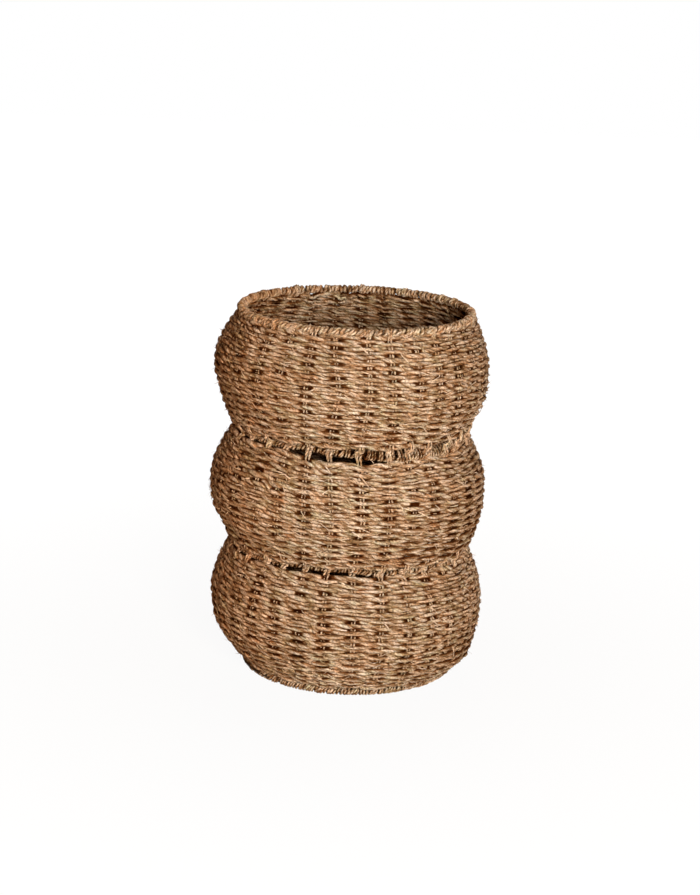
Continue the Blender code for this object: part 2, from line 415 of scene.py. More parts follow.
def wall_line(tier):
    """The middle of a tier's wall: arc length from its foot, (radius, height) and outward normal.

    It runs on a little past both ends. The tier's own length comes last.
    """
    foot, head = tier["foot"], tier["head"]
    middle = foot[1] + tier["share"] * (head[1] - foot[1])
    height = np.linspace(foot[1], head[1], WALL_POINTS)
    end_radius = np.where(height < middle, foot[0], head[0])
    end_height = np.where(height < middle, foot[1], head[1])
    share = (height - middle) / (end_height - middle)
    radius = tier["belly"] + (end_radius - tier["belly"]) * share**2
    slope_r, slope_z = np.gradient(radius), np.gradient(height)
    slope = np.hypot(slope_r, slope_z)
    normal = np.stack([slope_z / slope, -slope_r / slope], -1)
    line = np.stack([radius, height], -1) - WALL_INSET * normal
    arc = np.concatenate([[0], np.cumsum(np.hypot(*np.diff(line, axis=0).T))])
    first, last = (line[1] - line[0]) / arc[1], (line[-1] - line[-2]) / (arc[-1] - arc[-2])
    length = arc[-1]
    line = np.vstack([line[0] - WALL_SPARE * first, line, line[-1] + WALL_SPARE * last])
    arc = np.concatenate([[-WALL_SPARE], arc, [length + WALL_SPARE]])
    normal = np.vstack([normal[:1], normal, normal[-1:]])
    return arc, line, normal, length


LINES = {name: wall_line(tier) for name, tier in TIERS.items()}


def row_count(name):
    """How many rows a tier has, and their pitch up the wall."""
    length = LINES[name][-1]
    foot_past, head_past = TIERS[name]["past"]
    rows = round((length + foot_past + head_past) / ROW_PITCH)
    return rows, (length + foot_past + head_past) / rows


def stake_drift():
    """How far each stake strays sideways at six heights, in radians."""
    shape = STAKE_COUNT, len(DRIFT_HEIGHTS)
    drift = np.random.default_rng(5).uniform(-MOST_DRIFT, MOST_DRIFT, shape)
    drift[FIRST_IN_FRONT:FIRST_IN_FRONT + len(FRONT_DRIFT)] = FRONT_DRIFT
    return np.radians(drift)


DRIFT = stake_drift()


def stake_angle(stake, height):
    """The angle of a stake at a height. Between two whole numbers it lies between two stakes."""
    stake, height = np.broadcast_arrays(np.asarray(stake, float), height)
    low = np.floor(stake).astype(int)
    level = np.interp(height, DRIFT_HEIGHTS, np.arange(len(DRIFT_HEIGHTS)))
    step = np.minimum(level.astype(int), len(DRIFT_HEIGHTS) - 2)
    part, rise = stake - low, level - step
    total = 0
    for neighbour, share in ((low, 1 - part), (low + 1, part)):
        rows = DRIFT[neighbour % STAKE_COUNT]
        at_step = np.take_along_axis(rows, step[..., None], -1)[..., 0]
        above = np.take_along_axis(rows, step[..., None] + 1, -1)[..., 0]
        total = total + share * (at_step * (1 - rise) + above * rise)
    return BASKET_TURN + (stake + STAKE_OFFSET) * 2 * pi / STAKE_COUNT + total


def from_front(theta):
    """An angle as it lies from the front, from -pi to pi, with the right side positive."""
    return (theta + pi / 2 + pi) % (2 * pi) - pi


def deep_slot(theta, name):
    """Where the slot above a tier is deep and dark, 0 to 1."""
    middle, half = np.radians(OPEN_SLOTS[name])
    return np.exp(-(((from_front(theta) - middle) / half) ** SLOT_EDGE))


def openness(theta, name):
    """How far the slot above a tier stands open, 0 to 1: ragged in front, patchy elsewhere."""
    ragged = np.clip(0.9 + 0.35 * wall_noise(theta, 0 * theta, 40, 1.0, 77, 12), 0, 1.1)
    patches = np.clip(0.5 + 0.35 * wall_noise(theta, 0 * theta, 14, 1.0, 78), 0, 0.75)
    front = deep_slot(theta, name)
    return front * ragged + (1 - front) * patches


def flush(theta, hoop):
    """Where a waist's windings come forward to the wall, 0 to 1."""
    return 1 - deep_slot(theta, SLOT_OF[hoop]) if hoop in SLOT_OF else 0 * theta


def crooked(name, theta, share):
    """How far the wall stands out or in from the even round, by its place up the tier."""
    left = ((1 - np.cos(theta)) / 2) ** SIDE_WIDTH
    right = ((1 + np.cos(theta)) / 2) ** SIDE_WIDTH
    at_left, at_right = CROOKED[name]
    heights = np.linspace(0, 1, len(at_left))
    return left * np.interp(share, heights, at_left) + right * np.interp(share, heights, at_right)


def sag(theta, edge):
    """How far an edge of a tier, or a hoop, hangs low at an angle."""
    if edge not in SAGS:
        return 0.0 * theta
    angles, depths = zip(*SAGS[edge])
    front = np.degrees(from_front(theta))
    return MILLIMETRE * np.interp(front, angles, depths, left=0.0, right=0.0)


def on_wall(theta, radius, height):
    """Points, or directions, from their angle, radius and height."""
    return np.stack([radius * np.cos(theta), radius * np.sin(theta), height], -1)


def wall_at(name, at):
    """Radius, height and outward normal so far up a tier's wall."""
    arc, line, normal, _ = LINES[name]
    return [np.interp(at, arc, values) for values in (*line.T, *normal.T)]


# ---- the rows of the weave

# How rows wander up and down the wall, and how the wall stands out in places
ROW_WANDER = 0.0013
ROW_WAVE_STRAY = (0.00042, 0.35)
ROW_RIPPLE_STRAY = (0.00034, 0.15)
ROW_OUT_STRAY = (0.00035, 0.25)
WALL_DENT = 0.0007
ROW_SIZE_STRAY = (0.07, 0.11)
ROW_NARROW_STRAY = (0.05, 0.03)

# The last row stops this much of a lap short, and a row spreads at most so far over a gap
LAP_LEFT_OUT = 0.98
MOST_SPREAD = 1.35

# From where on the back begins, by the sine of the angle
BACK = (-0.2, 0.4)
# Painted shade on the inner side of the back wall: how much, and how far in from the cord's middle
# it reaches
INNER_PAINTED_SHADE = 0.20
INNER_REACH = 0.0026
CORE_HALF_DEPTH = 0.0019
CORE_HALF_WIDTH = 0.0029


def row_sizes(stakes, swing, along, widest, behind, rng, seed):
    """A tier's cord's thickness along it, and how strong the painted shade in its recesses is."""
    crossing = np.round(stakes).astype(int)
    chance = rng.random(crossing.max() + 1)[crossing]
    cover = rng.uniform(-0.06, 0.13, crossing.max() + 1)[crossing]
    recess_shade = 0.30 + 0.70 * smooth_step(chance, 0.12, 0.78)
    size = 1.0 + cover * np.abs(swing) - 0.04 * swing + 0.06 * (1 - swing**2)
    size = size + stray(along, ROW_SIZE_STRAY, seed + 4) + stray(along, ROW_NARROW_STRAY, seed + 5)
    size = np.maximum(size, 0.92 * widest) + 0.5 * (widest - 1) + 0.06 * behind
    return size, recess_shade


def row_edge_shade(theta, at, share, behind, seed):
    """How strong the painted shade at the cord's upper and lower edges is: stronger low on the
    tier, in patches, on the back, and on the left and right sides.
    """
    edges = (0.62 + 0.20 * np.clip(1.5 - 2.2 * share, 0, 1)
             + 0.36 * wall_noise(theta, at, 80, 0.010, seed + 8, 20))
    left = smooth_step(-np.cos(theta), 0.5, 0.9)
    right = smooth_step(np.cos(theta), 0.3, 0.8)
    return np.clip(edges + 0.30 * behind + 0.15 * left + 0.28 * right, 0.2, 1.0)


def weave_rows(name, seed):
    """The tier's one cord, from its first row at the foot to its last at the head."""
    _, line, _, length = LINES[name]
    foot_close, head_close = TIERS[name]["close"]
    rows, pitch = row_count(name)
    count = int(rows * 2 * pi * line[:, 0].mean() / SEGMENT)
    stakes = np.linspace(0, (rows - LAP_LEFT_OUT) * STAKE_COUNT, count)
    share = (0.5 + stakes / STAKE_COUNT) / rows
    at = share * rows * pitch - TIERS[name]["past"][0]
    theta = stake_angle(stakes, wall_at(name, at)[1])
    shut_above = 1 - openness(theta, name)
    shut_below = 1 - openness(theta, SLOT_BELOW[name]) if name in SLOT_BELOW else 0
    at = at + head_close * shut_above * share**5 - foot_close * shut_below * (1 - share) ** 5
    calm = np.clip(4 * np.minimum(share, 1 - share) + 0.3, 0, 1)
    at = (at + calm * ROW_WANDER * wall_noise(theta, at, 9, 0.05, seed)
          + stray(theta, ROW_WAVE_STRAY, seed + 1))
    at = at + stray(theta, ROW_RIPPLE_STRAY, seed + 9)
    at = at - sag(theta, f"{name} head") * share**6 - sag(theta, f"{name} foot") * (1 - share) ** 6
    above = np.interp(stakes + STAKE_COUNT, stakes, at, right=at[-1] + pitch) - at
    below = at - np.interp(stakes - STAKE_COUNT, stakes, at, left=at[0] - pitch)
    widest = np.clip(np.maximum(above, below) / pitch, 1.0, MOST_SPREAD)
    swing = np.cos(pi * stakes)
    behind = smooth_step(np.sin(theta), *BACK)
    out = ROW_SWING * (1 - 0.1 * behind) * swing * (1.12 - 0.12 * swing**2)
    out = (out + stray(theta, ROW_OUT_STRAY, seed + 2)
           + WALL_DENT * wall_noise(theta, at, 4, 0.2, seed + 3))
    out = out + crooked(name, theta, at / length)
    radius, height, nr, nz = wall_at(name, at)
    centre = on_wall(theta, radius + out * nr, height + out * nz)
    outward = on_wall(theta, nr, nz)
    along = length_along(centre)
    size, recess_shade = row_sizes(stakes, swing, along, widest, behind,
                             np.random.default_rng(seed + 6), seed)
    plies = twisted(centre, outward, along, *ROW_CORD, ROW_SIDES, seed, size=size, swing=swing,
                    recess_shade=recess_shade, rim=row_edge_shade(theta, at, share, behind, seed), notch=0.55)
    # Painted shade on the side of each row that faces into the basket, on the back wall
    for strand in plies:
        spoke = strand["rings"] - centre[:, None]
        inward = -(spoke * outward[:, None]).sum(-1) / INNER_REACH
        dim = INNER_PAINTED_SHADE * behind[:, None] * smooth_step(inward, -0.1, 0.5)
        strand["shade"] = strand["shade"] * (1 - dim)
    return plies, core(centre, outward, along, CORE_HALF_DEPTH * size, CORE_HALF_WIDTH * size,
                       seed, swing, recess_shade)


# ---- stakes

# A stake's way over the base, by radius and height, and its points up each tier
STAKE_FOOT = ((0.036, 0.0042), (0.060, 0.0042), (0.090, 0.0042), (0.112, 0.0048), (0.1190, 0.0092))
STAKE_TRIM = 0.003
STAKE_POINTS = 24
WAISTS = ("upper_waist_hoop", "lower_waist_hoop")
WAIST_OF = {"lower": "lower_waist_hoop", "middle": "upper_waist_hoop"}
WAIST_GAP = 0.0020
WAIST_HALF = 0.0035

# Its hook over the rim, in degrees round the hoop, and its end, from the hoop's middle
HOOK_ANGLES = (190, 150, 110, 75, 40, 5, -25)
HOOK_END = ((0.0050, -0.0052), (0.0035, -0.0090))
LINE_STEPS = 16

# A stake stands in the wall from this radius on, and is held firmly so far from its ends
WALL_FROM = 0.115
HELD_FROM = 0.006

# Heights between which the stakes are bare at the waists, and hook over the rim
BARE_FROM = (0.13, 0.15)
BARE_TO = (0.40, 0.38)
HOOK_FROM = (0.42, 0.43)
RIM_FROM = 0.427
WAIST_SPREAD = 0.008
BIG_HOOK, BIG_HOOK_SIZE = 22, 0.7

STAKE_SIDE_STRAY = (0.0003, 0.03)
HOOK_SIDE_STRAY = (0.0006, 0.015)
STAKE_OUT_STRAY = (0.00015, 0.01)
STAKE_SIZE_STRAY = (0.08, 0.02)


def stake_profile():
    """A stake's way in its own upright plane, from the base's middle to its end at the rim."""
    points = list(STAKE_FOOT)
    for name in TIERS:
        inner = np.linspace(STAKE_TRIM, LINES[name][-1] - STAKE_TRIM, STAKE_POINTS)
        points += zip(*wall_at(name, inner)[:2])
        if name in WAIST_OF:
            radius, height = HOOPS[WAIST_OF[name]]
            for rise in (-WAIST_HALF, 0.0, WAIST_HALF):
                points.append((radius + WRAP_REACH + WAIST_GAP, height + rise))
    radius, height = HOOPS["rim_hoop"]
    for angle in np.radians(HOOK_ANGLES):
        points.append((radius + HOOK_REACH * cos(angle), height + HOOK_REACH * sin(angle)))
    points += [(radius + out, height + up) for out, up in HOOK_END]
    return np.array(points)


def smooth_line(points, step):
    """A smooth line through the points, in even steps, and the length along it."""
    before = np.vstack([2 * points[0] - points[1], points, 2 * points[-1] - points[-2]])
    t = np.linspace(0, 1, LINE_STEPS, endpoint=False)[:, None]
    fine = []
    for a, b, c, d in zip(before, before[1:], before[2:], before[3:]):
        fine.append(0.5 * (2 * b + (c - a) * t + (2 * a - 5 * b + 4 * c - d) * t**2
                           + (3 * b - a - 3 * c + d) * t**3))
    fine = np.vstack(fine + [points[-1:]])
    arc = length_along(fine)
    even = np.linspace(0, arc[-1], int(arc[-1] / step) + 1)
    return np.stack([np.interp(even, arc, axis) for axis in fine.T], -1), even


def stake_swing(line):
    """How many rows up each point lies, how firmly it is held, and its share of each tier."""
    rows = np.zeros(len(line))
    held = np.zeros(len(line))
    shares = {}
    for name in TIERS:
        arc, wall, _, length = LINES[name]
        pitch = row_count(name)[1]
        foot_past = TIERS[name]["past"][0]
        height = line[:, 1]
        here = (height > wall[0, 1]) & (height < wall[-1, 1]) & (line[:, 0] > WALL_FROM)
        at = np.interp(height, wall[:, 1], arc)
        rows = np.where(here, (at + foot_past) / pitch - 0.5, rows)
        held = np.where(here, np.clip(np.minimum(at, length - at) / HELD_FROM, 0, 1), held)
        shares[name] = np.where(here, at / length, np.nan)
    return rows, held, shares


def stake_cords():
    """Both cords of every stake, each of two plies."""
    line, along = smooth_line(stake_profile(), SEGMENT)
    radius, height = line.T
    slope = np.gradient(line, axis=0)
    slope /= np.linalg.norm(slope, axis=1, keepdims=True)
    normal = np.stack([slope[:, 1], -slope[:, 0]], -1)
    rows, held, shares = stake_swing(line)
    bare = (1 - held) * smooth_step(height, *BARE_FROM) * smooth_step(height, *BARE_TO)
    hook = smooth_step(height, *HOOK_FROM)
    lean = np.random.default_rng(11).uniform(0.001, 0.006, STAKE_COUNT)
    hook_rise = np.random.default_rng(12).uniform(-0.0002, 0.0022, STAKE_COUNT)
    tubes = []
    for index in range(STAKE_COUNT):
        for side in (-1, 1):
            seed = 400 + 2 * index + (side > 0)
            rng = np.random.default_rng(seed)
            sway = side * (STAKE_GAP + stray(along, STAKE_SIDE_STRAY, seed)
                           - 0.0002 * hook + 0.0003 * bare)
            sway = sway + stray(along, HOOK_SIDE_STRAY, seed + 7) * (height > RIM_FROM)
            theta = stake_angle(index, height)
            push = 0
            for waist in WAISTS:
                rise = (height - HOOPS[waist][1]) / WAIST_SPREAD
                sway = sway + lean[index] * rise * np.exp(-rise**2)
                forward = 0.7 * sag(theta, waist) + 0.0018 + 0.0052 * flush(theta, waist)
                push = push + forward * np.exp(-(rise / 1.3) ** 2)
            theta = theta + sway / np.maximum(radius, 0.02)
            parity = np.cos(pi * (index + rows - index / STAKE_COUNT))
            out = stray(along, STAKE_OUT_STRAY, seed + 9) - STAKE_SWING * parity * held
            for name, share in shares.items():
                stands_out = crooked(name, theta, np.nan_to_num(share))
                out = out + np.where(np.isnan(share), 0, stands_out) * held
            out = out + push + hook_rise[index] * hook
            centre = on_wall(theta, radius + out * normal[:, 0], height + out * normal[:, 1])
            outward = on_wall(theta, normal[:, 0], normal[:, 1])
            size = 1.08 + 0.12 * rng.uniform(-1, 1) + stray(along, STAKE_SIZE_STRAY, seed + 11)
            bare_size = rng.uniform(0.70, 1.15)
            hook_size = BIG_HOOK_SIZE if index == BIG_HOOK else rng.uniform(-0.1, 0.3)
            size = size + bare_size * bare + hook_size * hook
            tubes += twisted(centre, outward, along, STAKE_PLY * 0.8, STAKE_PLY, STAKE_PLY * 1.1,
                             STAKE_TWIST, 6, seed, size=size, lumps=0.06, rim=0.62 - 0.22 * bare,
                             notch=0.62)
    return tubes


# ---- windings

TURN_STEPS = 20
WINDING_TWIST = 0.013
WINDING_TILT = 0.35
FLOOR_GAP = 0.0012

# How far a waist's windings come forward and down at the sides, and the painted shade on their
# underside in the slot
FORWARD_OUT = 0.0060
FORWARD_DOWN = 0.0018
SLOT_PAINTED_SHADE = 0.85
# The rim's windings are painted darker at the back, as shade: from where, by the sine of the angle,
# and how much
RIM_BACK = (-0.2, 0.5)
RIM_BACK_PAINTED_SHADE = 0.30

LAP_STRAY = (0.28, 1.3)
LAP_DRIFT_STRAY = (0.5, 9.0)
REACH_STRAY = (0.00040, 0.9)
REACH_DRIFT_STRAY = (0.0003, 5.0)
TURN_SIDE_STRAY = (0.0009, 0.6)
TURN_TILT_STRAY = (0.45, 1.2)
TURN_SIZE_STRAY = (0.16, 1.3)
TURN_NARROW_STRAY = (0.08, 0.5)
TURN_SHADE_STRAY = (0.30, 0.8)


def winding(name, seed, pitch, half_width, reach, outset, dim):
    """Twisted cord wound round a hoop, turn beside turn, each a little slanted."""
    radius, height = HOOPS[name]
    turns = int(2 * pi * radius / pitch)
    psi = np.linspace(0, 2 * pi * turns, turns * TURN_STEPS + 1)
    lap = psi / (2 * pi)
    ease = stray(lap, LAP_STRAY, seed) + stray(lap, LAP_DRIFT_STRAY, seed + 1)
    reach = reach + stray(lap, REACH_STRAY, seed + 2) + stray(lap, REACH_DRIFT_STRAY, seed + 3)
    up = reach * np.sin(psi)
    out = reach * np.cos(psi)
    theta = (lap + ease) * 2 * pi / turns + WINDING_TILT * up / radius
    theta = theta + stray(lap, TURN_SIDE_STRAY, seed + 5) / radius
    theta = theta + stray(lap, TURN_TILT_STRAY, seed + 8) * up / radius
    if name == "base_hoop":
        up = np.maximum(up, FLOOR_GAP - height)
    forward = flush(theta, name)
    front_side = (0.5 + 0.5 * np.cos(psi)) ** (1.5 - 0.6 * forward)
    hang = sag(theta, name) + FORWARD_DOWN * forward
    out = out + (0.6 * hang + outset + FORWARD_OUT * forward) * front_side
    up = up - hang * front_side
    if name == "base_hoop":
        out = out + crooked("lower", theta, 0.0) * front_side
    # Painted shade on a waist's windings: lifted to full where they come forward to the wall, and
    # darker on their underside in the slot
    if name in SLOT_OF:
        below = smooth_step(-np.sin(psi), 0.35, 0.80)
        dim = (dim + (1.0 - dim) * forward) * (1 - SLOT_PAINTED_SHADE * below * (1 - forward))
    # Painted shade on the rim's windings at the back
    if name == "rim_hoop":
        dim = dim * (1 - RIM_BACK_PAINTED_SHADE * smooth_step(np.sin(theta), *RIM_BACK))
    centre = on_wall(theta, radius + out, height + up)
    outward = on_wall(theta, np.cos(psi), np.sin(psi))
    size = 1 + stray(lap, TURN_SIZE_STRAY, seed + 6) + stray(lap, TURN_NARROW_STRAY, seed + 7)
    plies = twisted(centre, outward, length_along(centre), 0.40 * half_width, 0.55 * half_width,
                    0.80 * half_width, WINDING_TWIST, 7, seed, size=size, lumps=0.12,
                    rim=0.9 if name in SLOT_OF else 0.72, notch=0.42)
    # Each turn's brightness: the painted light and shade above, with a random tone per turn
    for strand in plies:
        light = dim * (1 + stray(lap, TURN_SHADE_STRAY, seed + 9))
        strand["shade"] = strand["shade"] * light[:, None]
    return plies


# ---- base

BASE_PITCH = 0.0040
BASE_OUTER = 0.1225
BASE_TRIM = 0.004
BASE_STAKES_FROM, BASE_STAKES_OVER = 0.036, 0.006
BASE_HEIGHT = 0.0041
BASE_SWING = 0.00165
BASE_WANDER = 0.0004
BASE_SIZE_STRAY = (0.04, 0.07)
BASE_SIDES = 7


def base_rows(seed):
    """The round bottom: one cord from its middle outwards, over and under the stakes."""
    laps = (BASE_OUTER - BASE_TRIM) / BASE_PITCH
    count = int(pi * BASE_OUTER**2 / BASE_PITCH / SEGMENT)
    lap = laps * np.sqrt(np.linspace(0.0004, 1, count))
    radius = 0.002 + BASE_PITCH * lap
    theta = stake_angle(lap * STAKE_COUNT, 0.0)
    woven = np.clip((radius - BASE_STAKES_FROM) / BASE_STAKES_OVER, 0, 1)
    swing = np.cos(pi * lap * STAKE_COUNT)
    height = BASE_HEIGHT + BASE_SWING * swing * woven
    radius = radius + BASE_WANDER * wall_noise(theta, radius, 9, 0.03, seed)
    centre = on_wall(theta, radius, height)
    outward = on_wall(theta, 0 * theta, 1 + 0 * theta)
    along = length_along(centre)
    size = 0.74 + stray(along, BASE_SIZE_STRAY, seed + 4)
    return twisted(centre, outward, along, *ROW_CORD, BASE_SIDES, seed, size=size)


# ---- loose fibres

TIER_NAMES = list(TIERS)
FIBRE_COUNT, FIBRE_SEED = 700, 7
FIBRE_START = 0.0030
FIBRE_REACH = (0.0025, 0.0050)
FIBRE_LENGTH = (0.005, 0.014)
FIBRE_HALF = (0.00010, 0.00022)
LEAF_COUNT, LEAF_SEED = 1200, 8
LEAF_START = 0.0036
LEAF_WAVE = 0.0006
LEAF_TUCK = 0.0012
LEAF_LIFT = (0.0, 0.0013)
LEAF_LENGTH = (0.005, 0.016)
LEAF_HALF = (0.0003, 0.0009)
MOST_SHIFT = 5


def loose_fibres():
    """Fine ends of leaf that stand off the cords."""
    rng = np.random.default_rng(FIBRE_SEED)
    tubes = []
    for k in range(FIBRE_COUNT):
        name = TIER_NAMES[k % len(TIER_NAMES)]
        whole = LINES[name][-1]
        at = rng.uniform(0.02, 0.98) * whole
        theta = rng.uniform(0, 2 * pi)
        start_r, start_z, nr, nz = wall_at(name, at)
        start_r = start_r + crooked(name, theta, at / whole)
        reach = rng.uniform(*FIBRE_REACH)
        length = rng.uniform(*FIBRE_LENGTH)
        heading = rng.normal(0, 0.5) + (pi if rng.random() < 0.5 else 0)
        t = np.linspace(0, 1, 6)
        out = FIBRE_START + reach * (t * (1.5 - 0.7 * rng.random() * t))
        sideways = length * t * cos(heading)
        rise = length * t * sin(heading) * 0.7 + 0.001 * rng.normal() * t**2
        theta = theta + sideways / start_r
        points = on_wall(theta, start_r + out * nr - rise * nz, start_z + out * nz + rise * nr)
        side, other = sides_along(points, on_wall(theta, nr + 0 * t, nz + 0 * t))
        half = rng.uniform(*FIBRE_HALF) * (1.1 - 0.9 * t)
        along = np.linspace(0, length, len(t)) + rng.uniform(0, MOST_SHIFT)
        tubes.append(tube(points, side, other, half, half * 1.6, 4, along, 5000 + k))
    return tubes


def leaf_ends():
    """Flat ends of leaf that slipped out of a strand and lie on the wall."""
    rng = np.random.default_rng(LEAF_SEED)
    tubes = []
    for k in range(LEAF_COUNT):
        name = TIER_NAMES[k % len(TIER_NAMES)]
        whole = LINES[name][-1]
        at = rng.uniform(0.03, 0.97) * whole
        start = rng.uniform(0, 2 * pi)
        length = rng.uniform(*LEAF_LENGTH)
        heading = rng.normal(-0.20, 0.38) + (pi if rng.random() < 0.5 else 0)
        t = np.linspace(0, 1, 9)
        lift = rng.uniform(*LEAF_LIFT)
        radius = wall_at(name, at)[0] + crooked(name, start, at / whole)
        theta = start + length * t * cos(heading) / radius
        up = at + length * t * sin(heading)
        wave = LEAF_WAVE * np.sin(pi * t * rng.uniform(1, 2.5))
        out = LEAF_START + wave + lift * t**2 - LEAF_TUCK * (1 - t) ** 4
        radius, height, nr, nz = wall_at(name, up)
        radius = radius + crooked(name, theta, up / whole)
        points = on_wall(theta, radius + out * nr, height + out * nz)
        side, other = sides_along(points, on_wall(theta, nr, nz))
        half = rng.uniform(*LEAF_HALF) * (1 - 0.6 * t**3)
        along = np.linspace(0, length, len(t)) + rng.uniform(0, MOST_SHIFT)
        tubes.append(tube(points, side, other, half * 0.3, half, 6, along, 9000 + k))
    return tubes


# ---- materials

# Noise on a strand: its scale along and across, its shift, detail and roughness
LEAF_FIELDS = {
    "tone": (38, 110, 0, 3.0, 0.62),
    "hue": (17, 60, 31.7, 2.0, 0.55),
    "streaks": (125, 580, 5.1, 2.0, 0.62),
    "fine": (430, 760, 9.4, 1.0, 0.6),
    "flecks": (160, 700, 77.0, 2.0, 0.5),
}
STRAND_SHIFT = 173.0

# The leaf's colour from brown to straw, and its tint from red to green
LEAF_COLOURS = (
    (0.22, (0.095, 0.027, 0.004)),
    (0.33, (0.235, 0.110, 0.040)),
    (0.43, (0.354, 0.222, 0.128)),
    (0.52, (0.452, 0.320, 0.216)),
    (0.62, (0.512, 0.388, 0.286)),
    (0.73, (0.535, 0.416, 0.320)),
    (0.84, (0.545, 0.434, 0.342)),
)
LEAF_TINTS = (
    (0.33, (1.08, 0.84, 0.66)),
    (0.42, (1.03, 0.96, 0.88)),
    (0.50, (1.0, 1.0, 1.0)),
    (0.58, (0.96, 1.02, 0.95)),
    (0.66, (0.88, 0.98, 0.86)),
)

# How much streaks take from each colour, at full strength
STREAK_DROPS = (
    (0.30, (0.62, 0.70, 0.77)),
    (0.45, (0.0, 0.01, 0.03)),
    (0.70, (0.02, 0.01, -0.02)),
)

# Painted shade: what the colour is multiplied by, from the deepest groove to the crest, where a
# little painted highlight lifts it above 1
PAINTED_SHADE_COLOURS = (
    (0.0, (0.060, 0.020, 0.005)),
    (0.22, (0.22, 0.105, 0.036)),
    (0.50, (0.73, 0.63, 0.50)),
    (0.80, (0.97, 0.95, 0.93)),
    (1.0, (1.03, 1.04, 1.05)),
)
FLECK_COLOUR = (0.070, 0.022, 0.006, 1)

# Painted shade on the basket's left and right sides, where the light falls off: from where to where
# along X, and the tint
LEFT_SIDE = (-0.150, -0.050, 1.0, 0.0)
LEFT_SHADE_TINT = (1.14, 0.92, 0.74, 1)
RIGHT_SIDE = (0.080, 0.150, 0.0, 1.0)
RIGHT_SHADE_TINT = (1.02, 0.96, 0.92, 1)
WIRE_COLOURS = ((0.3, (0.060, 0.034, 0.018)), (0.7, (0.115, 0.070, 0.040)))


class Nodes:
    """Short calls that add nodes to a material or the world."""

    def __init__(self, owner):
        owner.use_nodes = True
        self.owner = owner
        self.tree = owner.node_tree
        self.shader = self.tree.nodes.get("Principled BSDF")

    def add(self, kind, **settings):
        node = self.tree.nodes.new(kind)
        for key, value in settings.items():
            setattr(node, key, value)
        return node

    def link(self, source, target):
        self.tree.links.new(source, target)

    def put(self, target, value):
        if hasattr(value, "default_value"):
            self.link(value, target)
        else:
            target.default_value = value

    def finish(self, socket, value):
        self.put(self.shader.inputs[socket], value)

    def math(self, operation, a, b):
        node = self.add("ShaderNodeMath", operation=operation)
        self.put(node.inputs[0], a)
        self.put(node.inputs[1], b)
        return node.outputs[0]

    def vector(self, x, y, z):
        node = self.add("ShaderNodeCombineXYZ")
        for socket, value in zip(node.inputs, (x, y, z)):
            self.put(socket, value)
        return node.outputs[0]

    def parts(self, vector):
        node = self.add("ShaderNodeSeparateXYZ")
        self.link(vector, node.inputs[0])
        return node.outputs

    def noise(self, vector, scale, detail, roughness=0.5):
        node = self.add("ShaderNodeTexNoise")
        self.link(vector, node.inputs["Vector"])
        for key, value in (("Scale", scale), ("Detail", detail), ("Roughness", roughness)):
            node.inputs[key].default_value = value
        return node.outputs["Fac"]

    def ramp(self, value, stops):
        node = self.add("ShaderNodeValToRGB")
        elements = node.color_ramp.elements
        while len(elements) < len(stops):
            elements.new(0.5)
        for element, (place, colour) in zip(elements, stops):
            element.position = place
            element.color = (*colour, 1)
        self.link(value, node.inputs[0])
        return node.outputs[0]

    def mix(self, share, a, b, blend="MIX"):
        node = self.add("ShaderNodeMix", data_type="RGBA", blend_type=blend)
        self.put(node.inputs[0], share)
        self.put(node.inputs[6], a)
        self.put(node.inputs[7], b)
        return node.outputs[2]

    def times(self, colour, factor):
        return self.mix(1.0, colour, factor, "MULTIPLY")

    def light(self, kind, colour, strength):
        node = self.add(kind)
        node.inputs[0].default_value = colour
        node.inputs[1].default_value = strength
        return node.outputs[0]

    def mix_light(self, share, a, b, output):
        node = self.add("ShaderNodeMixShader")
        for socket, source in zip(node.inputs, (share, a, b)):
            self.link(source, socket)
        self.link(node.outputs[0], output)

    def spread(self, value, low, high, to_low, to_high):
        node = self.add("ShaderNodeMapRange")
        self.link(value, node.inputs[0])
        for socket, number in zip(node.inputs[1:5], (low, high, to_low, to_high)):
            socket.default_value = number
        return node.outputs[0]

    def bump(self, height, distance, strength=1.0):
        node = self.add("ShaderNodeBump")
        node.inputs["Strength"].default_value = strength
        node.inputs["Distance"].default_value = distance
        self.link(height, node.inputs["Height"])
        self.finish("Normal", node.outputs[0])


